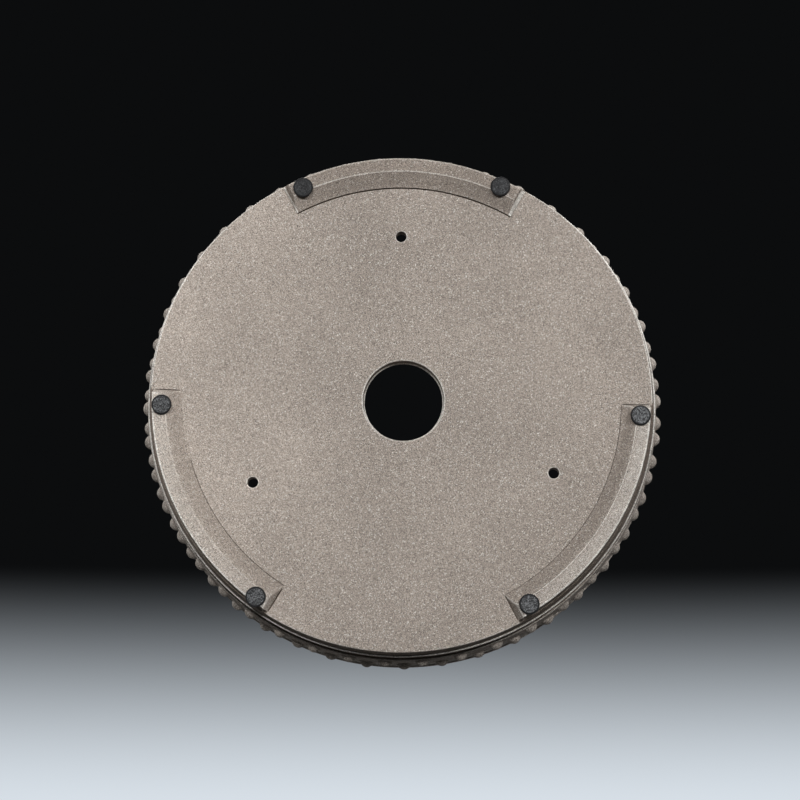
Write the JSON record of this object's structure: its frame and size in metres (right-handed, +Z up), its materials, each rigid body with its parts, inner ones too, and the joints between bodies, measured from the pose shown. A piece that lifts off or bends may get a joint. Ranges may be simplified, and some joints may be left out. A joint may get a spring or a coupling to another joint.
{
  "type": "flower pot",
  "caption": "Shallow round unglazed stoneware pot with a drain hole, tie-wire holes, arc feet on rubber pads, string lines and staggered rows of studs round the side.",
  "frame": {"origin": "centre of the pot on the surface that it stands on, at the underside of the pads", "axes": "+Z up along the pot's axis to its mouth, -Y to the front, where one foot lies across the front edge"},
  "size_m": [0.3155, 0.316, 0.0689],
  "materials": {
    "stoneware": "unglazed, fine sandy grain, matte",
    "pad_rubber": "matte black, fine grain"
  },
  "bodies": {
    "root": {"floor_slab": "stoneware", "wall_ring": "stoneware", "rim_lip": "stoneware", "lower_string_line": "stoneware", "upper_string_line": "stoneware", "stud_belt": "stoneware", "foot_front": "stoneware", "foot_rear_left": "stoneware", "foot_rear_right": "stoneware", "pad_1": "pad_rubber", "pad_2": "pad_rubber", "pad_3": "pad_rubber", "pad_4": "pad_rubber", "pad_5": "pad_rubber", "pad_6": "pad_rubber"}
  },
  "joints": []
}
